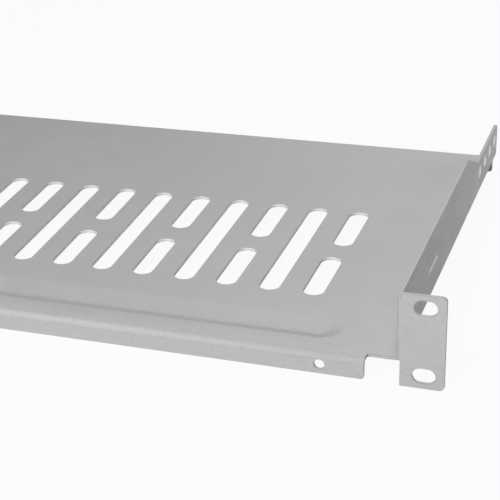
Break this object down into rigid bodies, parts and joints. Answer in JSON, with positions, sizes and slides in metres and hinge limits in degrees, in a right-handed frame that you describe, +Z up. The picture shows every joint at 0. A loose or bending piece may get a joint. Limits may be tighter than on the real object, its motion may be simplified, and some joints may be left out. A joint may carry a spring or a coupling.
{
  "type": "cantilever rack shelf",
  "caption": "Vented cantilever shelf for a 19-inch rack, folded from one steel sheet, with slotted ears, low side walls and a stiffening bead.",
  "frame": {"origin": "centre of the four rack slots, on the rear face of the ears, which bears on the rack", "axes": "+X across the rack to the right seen from the front, +Y from the front to the rear, +Z up"},
  "size_m": [0.4826, 0.25, 0.0436],
  "materials": {
    "powder_coat": "satin light grey powder coat with a fine texture"
  },
  "bodies": {
    "root": {"cantilever_shelf": "powder_coat"}
  },
  "joints": []
}
